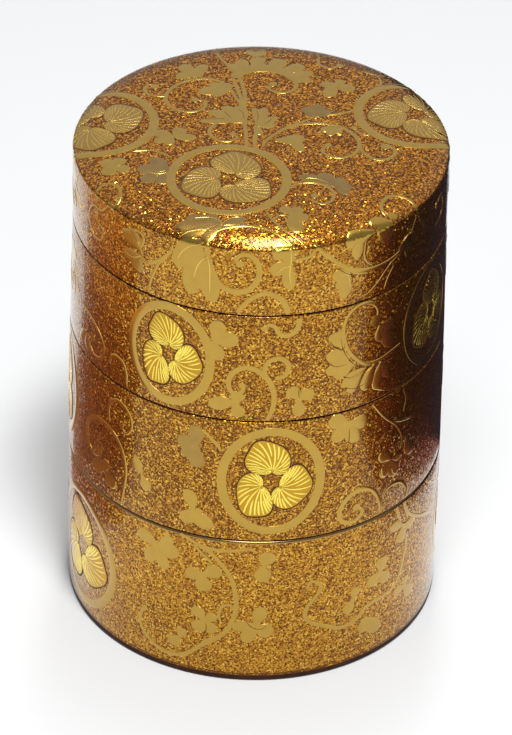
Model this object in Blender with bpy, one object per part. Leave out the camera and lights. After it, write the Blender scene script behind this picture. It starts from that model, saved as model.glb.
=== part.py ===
"""Tiered incense box: a round lacquered wooden box of three stacked tiers under a low crowned lid.

Each piece is turned, hollow and empty. A tier's rim carries a thin standing lip, and the skirt
of the piece above drops over it, so the stack lines up and every piece lifts straight off.
Metres, +Z up. The origin is the centre of the underside, and -Y is the front.
"""

import math

import bmesh
import bpy

MM = 0.001

# Driving dimensions: the outside of the closed stack, over its raised gold ornament.
LOWER_TIER_TOP = 30.87 * MM
MIDDLE_TIER_TOP = 56.13 * MM
UPPER_TIER_TOP = 77.78 * MM
LID_ARRIS = 91.3 * MM
FOOT_RADIUS = 33.2 * MM
LOWER_RIM_RADIUS = 33.3 * MM
MIDDLE_RIM_RADIUS = 33.0 * MM
UPPER_RIM_RADIUS = 32.6 * MM
LID_RADIUS = 32.5 * MM

# Floors, walls and the lip-and-skirt joint between pieces.
BORE_RADIUS = 29.9 * MM
LIP_THICKNESS = 1.1 * MM
LIP_HEIGHT = 2.9 * MM
JOINT_GAP = 0.3 * MM
SKIRT_RADIUS = BORE_RADIUS + LIP_THICKNESS + JOINT_GAP
SKIRT_DEPTH = LIP_HEIGHT + JOINT_GAP / 2 + 0.3 * MM
FLOOR_THICKNESS = 1.7 * MM
LID_THICKNESS = 2.0 * MM

# Softened edges.
FOOT_ROUND = 1.0 * MM
RIM_ROUND = 0.25 * MM
LIP_ROUND = 0.35 * MM
FLOOR_ROUND = 2.0 * MM
ARRIS_ROUND = 0.5 * MM

# The lid's crown: nearly level in the middle, rolling down over its last few millimetres.
CROWN_ROLL = 1.15 * MM
CROWN_ROLL_POWER = 14
CROWN_DOME = 0.2 * MM
CROWN_EDGE = 0.8 * MM
CROWN_RINGS = 7

SEGMENTS = 60
MERGE_DISTANCE = 0.000001
SHARP_ANGLE = math.radians(35)


def lacquer(name, colour, roughness):
    material = bpy.data.materials.new(name)
    material.use_nodes = True
    shader = material.node_tree.nodes["Principled BSDF"]
    shader.inputs["Base Color"].default_value = (*colour, 1.0)
    shader.inputs["Metallic"].default_value = 0.3
    shader.inputs["Roughness"].default_value = roughness
    shader.inputs["Coat Weight"].default_value = 1.0
    return material


def rounded(corners):
    """Points (r, z) through corners of (r, z, radius, steps), each with an arc where it has a radius."""
    outline = []
    for i, (r, z, radius, steps) in enumerate(corners):
        if not radius:
            outline.append((r, z))
            continue
        before, after = corners[i - 1], corners[i + 1]
        to_before = math.atan2(before[1] - z, before[0] - r)
        to_after = math.atan2(after[1] - z, after[0] - r)
        opening = (to_after - to_before + math.pi) % (2 * math.pi) - math.pi
        inward = to_before + opening / 2
        reach = radius / math.sin(abs(opening) / 2)
        centre_r = r + reach * math.cos(inward)
        centre_z = z + reach * math.sin(inward)
        sweep = math.copysign(math.pi - abs(opening), -opening)
        for step in range(steps + 1):
            angle = inward + math.pi + sweep * (step / steps - 0.5)
            outline.append((centre_r + radius * math.cos(angle), centre_z + radius * math.sin(angle)))
    return outline


def turned(name, outline, material):
    """One closed solid: the outline, which starts and ends on the axis, spun about Z."""
    shape = bmesh.new()
    points = [shape.verts.new((r, 0.0, z)) for r, z in outline]
    edges = [shape.edges.new(pair) for pair in zip(points, points[1:])]
    bmesh.ops.spin(
        shape,
        geom=points + edges,
        cent=(0.0, 0.0, 0.0),
        axis=(0.0, 0.0, 1.0),
        angle=2 * math.pi,
        steps=SEGMENTS,
    )
    bmesh.ops.remove_doubles(shape, verts=shape.verts, dist=MERGE_DISTANCE)
    bmesh.ops.recalc_face_normals(shape, faces=shape.faces)
    mesh = bpy.data.meshes.new(name)
    shape.to_mesh(mesh)
    shape.free()
    mesh.shade_smooth()
    mesh.set_sharp_from_angle(angle=SHARP_ANGLE)
    mesh.materials.append(material)
    piece = bpy.data.objects.new(name, mesh)
    bpy.context.scene.collection.objects.link(piece)


def rim_and_bore(rim_radius, joint, floor_top):
    """From the rim's outer edge over the standing lip, down the bore and across the floor to the axis."""
    shoulder = joint - JOINT_GAP / 2
    lip_radius = BORE_RADIUS + LIP_THICKNESS
    lip_top = shoulder + LIP_HEIGHT
    return [
        (rim_radius, shoulder, RIM_ROUND, 2),
        (lip_radius, shoulder, 0, 0),
        (lip_radius, lip_top, LIP_ROUND, 2),
        (BORE_RADIUS, lip_top, LIP_ROUND, 2),
        (BORE_RADIUS, floor_top, FLOOR_ROUND, 2),
        (0, floor_top, 0, 0),
    ]


def skirt(joint, ledge, rim_radius):
    """The socket that drops over the lip below, from its ledge down to the foot and out to the rim's edge."""
    foot = joint + JOINT_GAP / 2
    return [
        (SKIRT_RADIUS, ledge, 0, 0),
        (SKIRT_RADIUS, foot, RIM_ROUND, 2),
        (rim_radius, foot, RIM_ROUND, 2),
    ]


def lower_tier(material):
    foot = [(0, 0, 0, 0), (FOOT_RADIUS, 0, FOOT_ROUND, 4)]
    above = rim_and_bore(LOWER_RIM_RADIUS, LOWER_TIER_TOP, FLOOR_THICKNESS)
    turned("lower_tier", rounded(foot + above), material)


def raised_tier(name, bottom, bottom_radius, top, top_radius, material):
    """A tier whose floor clears the lip of the tier that it stands on."""
    underside = bottom + SKIRT_DEPTH
    foot = [(0, underside, 0, 0)] + skirt(bottom, underside, bottom_radius)
    above = rim_and_bore(top_radius, top, underside + FLOOR_THICKNESS)
    turned(name, rounded(foot + above), material)


def crown_height(r):
    share = r / LID_RADIUS
    return LID_ARRIS + CROWN_ROLL * (1 - share**CROWN_ROLL_POWER) + CROWN_DOME * (1 - share**2)


def crown():
    """The lid's upper surface from just inside the arris to the axis, its rings closest near the edge."""
    edge = LID_RADIUS - CROWN_EDGE
    radii = [edge * math.cos(math.pi / 2 * i / CROWN_RINGS) for i in range(CROWN_RINGS)]
    return [(r, crown_height(r), 0, 0) for r in [*radii, 0]]


def lid(material):
    ceiling = LID_ARRIS + CROWN_ROLL - LID_THICKNESS
    inside = [(0, ceiling, 0, 0), (BORE_RADIUS, ceiling, FLOOR_ROUND, 2)]
    ledge = UPPER_TIER_TOP + SKIRT_DEPTH
    socket = [(BORE_RADIUS, ledge, 0, 0)] + skirt(UPPER_TIER_TOP, ledge, UPPER_RIM_RADIUS)
    arris = [(LID_RADIUS, LID_ARRIS, ARRIS_ROUND, 3)]
    turned("lid", rounded(inside + socket + arris + crown()), material)


for old in list(bpy.data.objects):
    bpy.data.objects.remove(old)

gold_ground = lacquer("sprinkled_gold_lacquer", (0.36, 0.17, 0.035), 0.35)
lower_tier(gold_ground)
raised_tier(
    "middle_tier", LOWER_TIER_TOP, LOWER_RIM_RADIUS, MIDDLE_TIER_TOP, MIDDLE_RIM_RADIUS, gold_ground
)
raised_tier(
    "upper_tier", MIDDLE_TIER_TOP, MIDDLE_RIM_RADIUS, UPPER_TIER_TOP, UPPER_RIM_RADIUS, gold_ground
)
lid(gold_ground)
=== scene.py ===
"""Tiered incense box: a round box of three stacked tiers and a lid, in sprinkled and raised gold lacquer.

Lengths in this file are millimetres until a mesh is made. The front faces -Y.
"""

import math

import bmesh
import bpy
import numpy as np
from mathutils import Matrix, Vector


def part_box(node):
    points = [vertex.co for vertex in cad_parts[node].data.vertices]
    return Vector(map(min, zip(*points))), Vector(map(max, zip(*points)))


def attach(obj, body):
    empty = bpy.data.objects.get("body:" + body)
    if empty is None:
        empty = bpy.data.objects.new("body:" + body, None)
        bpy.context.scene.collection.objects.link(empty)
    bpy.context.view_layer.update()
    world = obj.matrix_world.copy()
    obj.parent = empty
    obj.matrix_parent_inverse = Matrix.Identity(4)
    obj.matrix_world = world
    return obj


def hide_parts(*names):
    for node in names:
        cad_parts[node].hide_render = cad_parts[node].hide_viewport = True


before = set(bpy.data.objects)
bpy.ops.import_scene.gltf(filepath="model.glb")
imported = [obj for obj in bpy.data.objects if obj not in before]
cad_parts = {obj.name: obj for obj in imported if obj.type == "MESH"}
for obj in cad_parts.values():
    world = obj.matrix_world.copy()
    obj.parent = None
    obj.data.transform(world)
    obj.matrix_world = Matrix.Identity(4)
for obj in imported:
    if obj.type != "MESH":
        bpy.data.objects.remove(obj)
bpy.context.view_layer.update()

# ------------------------------------------------------------------------------
# Lower tier. A turned wood core under cloth and many coats of lacquer, with a standing lip for the
# tier above. Gold flakes are sprinkled in wet lacquer, sealed under amber lacquer and polished
# flush. They thin out to plain dark lacquer at the foot's edge, a dark foot that also paints the
# shade where the box meets the floor, and the rim is rubbed gold.

# Each imported piece is wider than its wall by RELIEF, the room that the raised gold has.
MM = 0.001
RELIEF = 0.15
JOINT_GAP = 0.3
BORE_RADIUS = 29.9
LIP_RADIUS = 31.0
LIP_HEIGHT = 2.9
FLOOR_THICKNESS = 1.7
FOOT_RADIUS = 33.2 - RELIEF
SEAM = 0.23
FOOT_ROUND = 0.5
# The dark band at the foot and the sparse band over it are the dark foot and also painted shade where the
# box meets the floor.
DARK_FOOT_AND_SHADE_HEIGHT = 1.15
BARE_FOOT_HEIGHT = 1.7
RIM_ROUND = 0.22
LOWER_RIM_ROUND = 0.5
LIP_ROUND = 0.35
FLOOR_ROUND = 2.0
ARC_POINTS = 9
TURNED_SEGMENTS = 256
TURNED_SHARP_ANGLE = 35
FLAKE = 0.25
FINE_FLAKE = 0.16
FLAKE_LEAN = 1.7
DEEP_FLAKE_METAL = 0.85
GROUND, DARK, RUBBED, SPARSE = range(4)


def foot_of(node):
    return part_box(node)[0].z / MM


def top_of(node):
    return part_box(node)[1].z / MM


def radius_of(node):
    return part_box(node)[1].x / MM - RELIEF


def rounded(corners):
    """Points (r, z) through corners of (r, z, radius), each with an arc where it has a radius."""
    outline = []
    for i, (r, z, radius) in enumerate(corners):
        if not radius:
            outline.append((r, z))
            continue
        before, after = corners[i - 1], corners[i + 1]
        to_before = math.atan2(before[1] - z, before[0] - r)
        to_after = math.atan2(after[1] - z, after[0] - r)
        opening = (to_after - to_before + math.pi) % math.tau - math.pi
        inward = to_before + opening / 2
        reach = radius / math.sin(abs(opening) / 2)
        centre = (r + reach * math.cos(inward), z + reach * math.sin(inward))
        sweep = math.copysign(math.pi - abs(opening), -opening)
        for share in np.linspace(-0.5, 0.5, ARC_POINTS):
            angle = inward + math.pi + sweep * share
            outline.append((centre[0] + radius * math.cos(angle), centre[1] + radius * math.sin(angle)))
    return outline


def make_piece(name, points, faces, *materials):
    mesh = bpy.data.meshes.new(name)
    mesh.from_pydata((np.asarray(points, float) * MM).tolist(), [], faces)
    for material in materials:
        mesh.materials.append(material)
    mesh.shade_smooth()
    piece = bpy.data.objects.new(name, mesh)
    bpy.context.scene.collection.objects.link(piece)
    return piece


def turn(name, outline, finish_at, *materials):
    """A closed turned piece from an outline that starts and ends on the axis.

    finish_at gives the number of the material at (r, z).
    """
    rings = [(r, z) for r, z in outline if r > 0]
    angles = np.arange(TURNED_SEGMENTS) * math.tau / TURNED_SEGMENTS
    points = [(r * math.sin(a), -r * math.cos(a), z) for r, z in rings for a in angles]
    start, end = len(points), len(points) + 1
    points += [(0, 0, outline[0][1]), (0, 0, outline[-1][1])]
    faces, slots = [], []
    last = (len(rings) - 1) * TURNED_SEGMENTS
    for j in range(TURNED_SEGMENTS):
        k = (j + 1) % TURNED_SEGMENTS
        for i in range(len(rings) - 1):
            low, high = i * TURNED_SEGMENTS, (i + 1) * TURNED_SEGMENTS
            faces.append((low + j, low + k, high + k, high + j))
            slots.append(finish_at(*np.add(rings[i], rings[i + 1]) / 2))
        faces += [(start, k, j), (end, last + j, last + k)]
        slots += [finish_at(*outline[0]), finish_at(*outline[-1])]
    piece = make_piece(name, points, faces, *materials)
    piece.data.polygons.foreach_set("material_index", slots)
    piece.data.set_sharp_from_angle(angle=math.radians(TURNED_SHARP_ANGLE))
    return piece


def replace_body(piece, node):
    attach(piece, "root")
    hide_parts(node)


def finish_of(name, **shader_values):
    """A new material, with the values that are the same all over."""
    material = bpy.data.materials.new(name)
    material.use_nodes = True
    for socket, value in shader_values.items():
        shader_of(material).inputs[socket.replace("_", " ")].default_value = value
    return material


def shader_of(material):
    return material.node_tree.nodes["Principled BSDF"]


def step(tree, kind, inputs=(), **settings):
    """A shader node of that kind, its inputs set, or linked where they name another node's output."""
    made = tree.nodes.new("ShaderNode" + kind)
    for name, value in settings.items():
        setattr(made, name, value)
    for socket, value in dict(inputs).items():
        if isinstance(value, bpy.types.NodeSocket):
            tree.links.new(value, made.inputs[socket])
        else:
            made.inputs[socket].default_value = value
    return made


def ramp(tree, fac, *stops):
    made = step(tree, "ValToRGB", {"Fac": fac})
    elements = made.color_ramp.elements
    while len(elements) < len(stops):
        elements.new(0.5)
    for element, (position, colour) in zip(elements, stops):
        element.position = position
        element.color = (*colour, 1)
    return made.outputs["Color"]


def sprinkled_gold(name, density, warmth=1.0, spread=1.0, gloss=0.7, polish=0.05):
    """Two depths of tilted flakes under amber lacquer. Deeper flakes look smaller, browner and dimmer.

    A warmth below 1 is redder, and a spread over 1 sets the near flakes off more from the deep ones.
    """
    coat = {"Coat_Weight": gloss, "Coat_Roughness": polish, "Coat_IOR": 1.3}
    material = finish_of(name, Roughness=0.16, Specular_IOR_Level=0.1, **coat)
    tree, shader = material.node_tree, shader_of(material)
    where = step(tree, "TexCoord").outputs["Object"]

    def flakes(size):
        return step(tree, "TexVoronoi", {"Vector": where, "Scale": 1 / (size * MM)})

    def luck_of(cells):
        return step(tree, "TexWhiteNoise", {"Vector": cells.outputs["Position"]})

    def vector(operation, *inputs):
        return step(tree, "VectorMath", dict(enumerate(inputs)), operation=operation).outputs[0]

    near = flakes(FLAKE)
    near_luck = luck_of(near)
    deep_luck = luck_of(flakes(FINE_FLAKE))
    near_colour = ramp(
        tree,
        near_luck.outputs["Value"],
        (0.0, (0.32 * spread, 0.123 * spread * warmth, 0.008)),
        (0.45, (0.46 * spread, 0.203 * spread * warmth, 0.014)),
        (0.85, (0.67 * spread, 0.355 * spread * warmth, 0.03)),
        (1.0, (0.86 * spread, 0.58 * spread * warmth, 0.1)),
    )
    deep_colour = ramp(
        tree,
        deep_luck.outputs["Value"],
        (0.0, (0.052 / spread, 0.014 / spread, 0.001)),
        (0.5, (0.15 / spread, 0.045 / spread, 0.002)),
        (1.0, (0.33 / spread, 0.118 / spread, 0.005)),
    )
    threshold = {0: near.outputs["Color"], 1: 1 - density}
    shown = step(tree, "Math", threshold, operation="GREATER_THAN").outputs[0]
    mixed = step(tree, "Mix", {"Factor": shown, 6: deep_colour, 7: near_colour}, data_type="RGBA")
    tree.links.new(mixed.outputs[2], shader.inputs["Base Color"])
    metal = step(tree, "MapRange", {"Value": shown, "To Min": DEEP_FLAKE_METAL, "To Max": 1.0})
    tree.links.new(metal.outputs["Result"], shader.inputs["Metallic"])
    leans = {"Factor": shown, 4: deep_luck.outputs["Color"], 5: near_luck.outputs["Color"]}
    lean = vector("SUBTRACT", step(tree, "Mix", leans, data_type="VECTOR").outputs[1], (0.5, 0.5, 0.5))
    cubed = vector("MULTIPLY", vector("MULTIPLY", lean, lean), lean)
    leaning = vector("MULTIPLY", cubed, (FLAKE_LEAN, FLAKE_LEAN, FLAKE_LEAN))
    upright = step(tree, "NewGeometry").outputs["Normal"]
    tree.links.new(vector("NORMALIZE", vector("ADD", leaning, upright)), shader.inputs["Normal"])
    return material


def plain_dark_lacquer():
    material = finish_of("plain_dark_lacquer", Roughness=0.5, Specular_IOR_Level=0.08)
    tree = material.node_tree
    where = step(tree, "TexCoord").outputs["Object"]
    cloudy = step(tree, "TexNoise", {"Vector": where, "Scale": 350.0, "Detail": 3.0})
    colour = ramp(tree, cloudy.outputs["Fac"], (0.3, (0.03, 0.01, 0.005)), (0.7, (0.055, 0.021, 0.01)))
    tree.links.new(colour, shader_of(material).inputs["Base Color"])
    return material


gold_ground = sprinkled_gold("sprinkled_gold", 0.5)
dense_gold_ground = sprinkled_gold("dense_sprinkled_gold", 0.62)
sparse_gold_ground = sprinkled_gold("sparse_sprinkled_gold", 0.2)
dark_lacquer = plain_dark_lacquer()
rubbed_coat = {"Coat_Weight": 0.5, "Coat_Roughness": 0.12}
rubbed_gold = finish_of(
    "rubbed_gold", Base_Color=(0.36, 0.22, 0.07, 1), Metallic=1.0, Roughness=0.18, **rubbed_coat
)


def rim_and_bore(rim_radius, joint, floor_top, rim_round=RIM_ROUND):
    shoulder = joint - SEAM / 2
    return [
        (rim_radius, shoulder, rim_round),
        (LIP_RADIUS, shoulder, 0),
        (LIP_RADIUS, shoulder + LIP_HEIGHT, LIP_ROUND),
        (BORE_RADIUS, shoulder + LIP_HEIGHT, LIP_ROUND),
        (BORE_RADIUS, floor_top, FLOOR_ROUND),
        (0, floor_top, 0),
    ]


lower_joint = foot_of("middle_tier") - JOINT_GAP / 2
lower_rim = radius_of("lower_tier")


def foot_edge(height):
    return float(np.interp(height, (0, lower_joint), (FOOT_RADIUS, lower_rim))), height, 0


# Plain dark lacquer, then sparse flakes, at the foot: the dark foot and also painted shade at the floor.
def lower_finish(r, z):
    if z < DARK_FOOT_AND_SHADE_HEIGHT:
        return DARK
    if z < BARE_FOOT_HEIGHT and r > BORE_RADIUS:
        return SPARSE
    on_rim = r > lower_rim - LOWER_RIM_ROUND and z > lower_joint - SEAM / 2 - LOWER_RIM_ROUND
    return RUBBED if on_rim else GROUND


foot = [(0, 0, 0), (FOOT_RADIUS, 0, FOOT_ROUND), foot_edge(DARK_FOOT_AND_SHADE_HEIGHT), foot_edge(BARE_FOOT_HEIGHT)]
lower_outline = rounded(foot + rim_and_bore(lower_rim, lower_joint, FLOOR_THICKNESS, LOWER_RIM_ROUND))
lower_finishes = dense_gold_ground, dark_lacquer, rubbed_gold, sparse_gold_ground
replace_body(turn("lower_tier_body", lower_outline, lower_finish, *lower_finishes), "lower_tier")

# ------------------------------------------------------------------------------
# Middle and upper tiers. Each is turned and lacquered as the lower tier is, with a socket in its
# foot that drops over the lip below. Joint faces are plain dark lacquer, so the joints read dark.

SOCKET_RADIUS = LIP_RADIUS + JOINT_GAP
LIP_CLEARANCE = 0.3
SOCKET_DEPTH = LIP_HEIGHT + JOINT_GAP / 2 + LIP_CLEARANCE


def socket_and_foot(joint, ledge, rim_radius):
    foot_height = joint + SEAM / 2
    return [
        (SOCKET_RADIUS, ledge, 0),
        (SOCKET_RADIUS, foot_height, RIM_ROUND),
        (rim_radius, foot_height, RIM_ROUND),
    ]


def raised_tier(node, joint, foot_radius, joint_above, rim_radius):
    underside = joint + SOCKET_DEPTH
    below = [(0, underside, 0)] + socket_and_foot(joint, underside, foot_radius)
    outline = rounded(below + rim_and_bore(rim_radius, joint_above, underside + FLOOR_THICKNESS))

    def finish_at(r, z):
        on_joint = r < foot_radius - RIM_ROUND and z < underside + RIM_ROUND
        return DARK if on_joint else GROUND

    replace_body(turn(node + "_body", outline, finish_at, gold_ground, dark_lacquer), node)


middle_joint = foot_of("upper_tier") - JOINT_GAP / 2
upper_joint = foot_of("lid") - JOINT_GAP / 2
middle_rim = radius_of("upper_tier")
upper_rim = radius_of("lid")
raised_tier("middle_tier", lower_joint, lower_rim, middle_joint, middle_rim)
raised_tier("upper_tier", middle_joint, middle_rim, upper_joint, upper_rim)

# ------------------------------------------------------------------------------
# Lid. Turned with its crown in one piece: nearly level, rolling down over its last few millimetres
# to a crisp edge. It is hollow, and its socket drops over the upper tier's lip. The gold is denser
# on its side, and redder on its crown, which is glossy only along the rolled edge.

LID_NARROWING = 0.1
LID_THICKNESS = 2.0
ARRIS_ROUND = 0.5
CROWN_ROLL = 1.15
CROWN_ROLL_POWER = 14
CROWN_DOME = 0.2
CROWN_RINGS = 60
CROWN_INSET = 0.8
CROWN_GROUND_DEPTH = 0.3
CROWN, EDGE = 2, 3

lid_radius = upper_rim - LID_NARROWING
arris = top_of("lid") - RELIEF - CROWN_ROLL - CROWN_DOME


def crown_height(r):
    share = r / lid_radius
    return arris + CROWN_ROLL * (1 - share**CROWN_ROLL_POWER) + CROWN_DOME * (1 - share**2)


def lid_finish(r, z):
    if r < upper_rim - RIM_ROUND and z < upper_joint + SOCKET_DEPTH + RIM_ROUND:
        return DARK
    if z > crown_height(0) - CROWN_DOME - CROWN_GROUND_DEPTH:
        return CROWN
    return EDGE if z > arris - ARRIS_ROUND else GROUND


lid_ledge = upper_joint + SOCKET_DEPTH
lid_ceiling = arris + CROWN_ROLL - LID_THICKNESS
lid_inside = [(0, lid_ceiling, 0), (BORE_RADIUS, lid_ceiling, FLOOR_ROUND), (BORE_RADIUS, lid_ledge, 0)]
lid_side = socket_and_foot(upper_joint, lid_ledge, upper_rim) + [(lid_radius, arris, ARRIS_ROUND)]
ring_radii = (lid_radius - CROWN_INSET) * np.cos(math.pi / 2 * np.arange(CROWN_RINGS) / CROWN_RINGS)
crown = [(r, crown_height(r), 0) for r in (*ring_radii, 0)]
lid_outline = rounded(lid_inside + lid_side + crown)
crown_gold_ground = sprinkled_gold("crown_sprinkled_gold", 0.5, warmth=0.8, spread=1.36, gloss=0.2)
edge_gold_ground = sprinkled_gold("edge_sprinkled_gold", 0.5, warmth=0.8, spread=1.3, polish=0.1)
lid_finishes = dense_gold_ground, dark_lacquer, crown_gold_ground, edge_gold_ground
replace_body(turn("lid_body", lid_outline, lid_finish, *lid_finishes), "lid")

# ------------------------------------------------------------------------------
# Roundels. On every piece of the box, rings of raised gold hold three veined leaves in a whirl.
# They are built up in lacquer, outlined in dark lacquer and dusted with gold powder; the leaves
# on the walls are laid in brighter, purer gold than those on the lid.

# Every raised band has this section: heights, as shares of its lift, and places across it.
SUNK = -0.06
ROUNDED_TOP = np.array((SUNK, 0.3, 0.66, 0.92, 1.0, 0.92, 0.66, 0.3, SUNK))
ACROSS = np.array((-1, -0.93, -0.7, -0.38, 0, 0.38, 0.7, 0.93, 1))
RAISED_SHARP_ANGLE = 25
UNROLL_RADIUS = 32.5
LID_FOOT_WALL = 1
LID_RUN_POINTS = 1200
BLADE_SHOULDER = 0.96
BLADE_HUB = 0.02
RING_WIDTH = 1.75
RING_LIFT = 0.09
RING_POINTS = 120
LEAF_SIZE = 0.3
LEAF_START = 0.225
LEAF_BREADTH = 1.24
LEAF_TIP = 0.17
LEAF_TIP_SPREAD = 0.3
LEAF_NOTCH = 0.012
LEAF_LEAST = 0.01
LEAF_POINTS = 132
LEAF_LIFT = 0.08
LEAF_RISE = (0.5, 0.85, 0.95, 1, 0.98, 0.9)
LEAF_OUTLINE = 0.24
OUTLINE_LIFTS = (SUNK, 0.03, 0.035, 0.035)
WHIRL = 0.55
WHIRL_FROM = 0.3
LEAF_RAYS = 25
RAY_WIDTH = 0.5
RAY_FAN = 2.15
RAY_START = 0.08
RAY_FORK = 0.5
RAY_END = 0.96
RAY_BEND = 0.05
SIDE_RAY = 0.15
SIDE_RAY_GAIN = 0.7
RAY_TAPER = 0.4 + 0.6 * np.sin(math.pi * np.linspace(0.05, 0.85, 14))
CROWN_RAY_LIFT = 0.014
WALL_RAY_LIFT = 0.025
POWDER_SWING = 0.05
POWDER_DEPTH = 0.02

wall_heights = (0, lower_joint, middle_joint, upper_joint, arris)
wall_radii = (FOOT_RADIUS, lower_rim, middle_rim, upper_rim, lid_radius)


def on_wall(xy, lift):
    """Where a point of the unrolled wall is: x runs to the right from the front, y is the height."""
    angle = xy[..., 0] / UNROLL_RADIUS
    r = np.interp(xy[..., 1], wall_heights, wall_radii) + lift
    return np.stack((r * np.sin(angle), -r * np.cos(angle), xy[..., 1]), -1)


def run_along(points):
    """How far along a line of points each of them is."""
    return np.concatenate(([0], np.cumsum(np.linalg.norm(np.diff(points, axis=0), axis=1))))


def lid_run():
    """The lid's outline from the top of its crown to its foot: distance run, r, z and slope."""
    outline = np.array(lid_outline[::-1])
    at_foot = (outline[:, 0] > lid_radius - LID_FOOT_WALL) & (outline[:, 1] < upper_joint + JOINT_GAP)
    outline = outline[: np.argmax(at_foot) + 1]
    run = run_along(outline)
    even = np.linspace(0, run[-1], LID_RUN_POINTS)
    r = np.interp(even, run, outline[:, 0])
    z = np.interp(even, run, outline[:, 1])
    return even, r, z, np.arctan2(-np.gradient(z), np.gradient(r))


run_length, run_r, run_z, run_slope = lid_run()
HALFWAY_OVER = math.pi / 4
arris_run = np.interp(HALFWAY_OVER, run_slope, run_length)


def at_lid(angle, run, lift):
    slope = np.interp(run, run_length, run_slope)
    r = np.interp(run, run_length, run_r) + lift * np.sin(slope)
    z = np.interp(run, run_length, run_z) + lift * np.cos(slope)
    return np.stack((r * np.sin(angle), -r * np.cos(angle), z), -1)


def on_crown(xy, lift):
    """Where a point of the lid's plan is. Past the edge it runs on down the side."""
    x, y = xy[..., 0], xy[..., 1]
    return at_lid(np.arctan2(x, -y), np.hypot(x, y), lift)


def on_lid_side(xy, lift):
    """The lid's side unrolled, as on_wall. Above the edge it runs on over the crown."""
    return at_lid(xy[..., 0] / UNROLL_RADIUS, arris_run + arris - xy[..., 1], lift)


def raise_gold(name, shells, material):
    """One piece from closed shells. A shell is rows of points round it, and may close on itself."""
    points, faces = [], []
    total = 0
    for grid, closed in shells:
        rows, around = grid.shape[:2]
        index = total + np.arange(rows * around).reshape(rows, around)
        total += rows * around
        points.append(grid.reshape(-1, 3))
        if closed:
            index = np.vstack((index, index[:1]))
        beside = np.roll(index, -1, axis=1)
        quads = np.stack((index[:-1], beside[:-1], beside[1:], index[1:]), -1)
        faces += quads.reshape(-1, 4).tolist()
        if not closed:
            faces += [index[0].tolist()[::-1], index[-1].tolist()]
    piece = make_piece(name, np.vstack(points), faces, material)
    mended = bmesh.new()
    mended.from_mesh(piece.data)
    bmesh.ops.recalc_face_normals(mended, faces=mended.faces)
    mended.to_mesh(piece.data)
    mended.free()
    piece.data.set_sharp_from_angle(angle=math.radians(RAISED_SHARP_ANGLE))
    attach(piece, "root")


def rounded_top(lift):
    """Heights across a band with a rounded top, its edges sunk in the ground."""
    return np.where(ROUNDED_TOP > 0, np.multiply.outer(lift, ROUNDED_TOP), ROUNDED_TOP)


def strip(chart, spine, half_width, lift):
    """A band along a spine of points, which may narrow and sink to its ends."""
    along = np.gradient(spine, axis=0)
    along /= np.linalg.norm(along, axis=1)[:, None]
    side = np.stack((along[:, 1], -along[:, 0]), -1)
    half_width = np.broadcast_to(half_width, len(spine))[:, None, None]
    xy = spine[:, None] + side[:, None] * half_width * ACROSS[:, None]
    return chart(xy, rounded_top(lift)), False


def blade(chart, outline, lifts):
    """A leaf or disc from its outline round a centre: outline(share) gives each ring of points."""
    shares = (1, 1, *np.linspace(BLADE_SHOULDER, BLADE_HUB, len(lifts) - 2))
    rings = np.stack([outline(share) for share in shares])
    return chart(rings, np.array(lifts)[:, None]), False


def wheel(count):
    """Points round a circle of radius 1."""
    angles = np.linspace(0, math.tau, count, endpoint=False)
    return np.stack((np.cos(angles), np.sin(angles)), -1)


def ring_of(chart, place, half_size):
    """A roundel's ring, as a band closed on itself."""
    reach = (ACROSS - 1) * RING_WIDTH / 2
    xy = np.array(place) + wheel(RING_POINTS)[:, None] * (np.array(half_size) + reach[:, None])
    return chart(xy, rounded_top(RING_LIFT)), True


def roundel_leaf(place, half_size, facing, grow):
    """One heart-shaped leaf: a function from angles and shares of its reach to points of the roundel."""
    inner = np.array(half_size) - RING_WIDTH

    def leaf_point(turn_by, share):
        tip = 1 + LEAF_TIP * np.exp(-((turn_by / LEAF_TIP_SPREAD) ** 2))
        radius = LEAF_SIZE * (1 + np.cos(turn_by)) * tip + LEAF_NOTCH
        reach = share * np.maximum(radius + grow / inner.mean(), LEAF_LEAST)
        x = LEAF_START + reach * np.cos(turn_by)
        y = LEAF_BREADTH * reach * np.sin(turn_by)
        out = np.hypot(x, y)
        angle = np.arctan2(y, x) + facing + WHIRL * (out - WHIRL_FROM)
        return np.array(place) + np.stack((out * np.cos(angle), out * np.sin(angle)), -1) * inner

    return leaf_point


def leaf_rays(chart, leaf_point, ray_lift):
    """Raised veins that fan out over a leaf. Every second one starts halfway and leans to its neighbour."""
    rays = []
    for k, turn_by in enumerate(np.linspace(-RAY_FAN, RAY_FAN, LEAF_RAYS)):
        start, bend = (RAY_START, 0) if k % 2 == 0 else (RAY_FORK, RAY_BEND if k % 4 == 1 else -RAY_BEND)
        shares = np.linspace(start, RAY_END, len(RAY_TAPER))
        spine = leaf_point(turn_by + bend * (shares - start), shares)
        narrow = min(1, SIDE_RAY + SIDE_RAY_GAIN * (1 + math.cos(turn_by)))
        rays.append(strip(chart, spine, RAY_WIDTH / 2 * narrow * RAY_TAPER, LEAF_LIFT + ray_lift))
    return rays


def roundel(chart, ray_lift, place, half_size, facing):
    """(ring, dark outlines, leaves, rays), each a list of shells."""
    outlines, leaves, rays = [], [], []
    around = np.linspace(-math.pi, math.pi, LEAF_POINTS, endpoint=False)
    for third in range(3):
        angle = facing + third * math.tau / 3
        outline = roundel_leaf(place, half_size, angle, LEAF_OUTLINE)
        outlines.append(blade(chart, lambda share: outline(around, share), OUTLINE_LIFTS))
        leaf_point = roundel_leaf(place, half_size, angle, 0)
        lifts = [SUNK] + [LEAF_LIFT * rise for rise in LEAF_RISE]
        leaves.append(blade(chart, lambda share: leaf_point(around, share), lifts))
        rays += leaf_rays(chart, leaf_point, ray_lift)
    return [ring_of(chart, place, half_size)], outlines, leaves, rays


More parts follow.
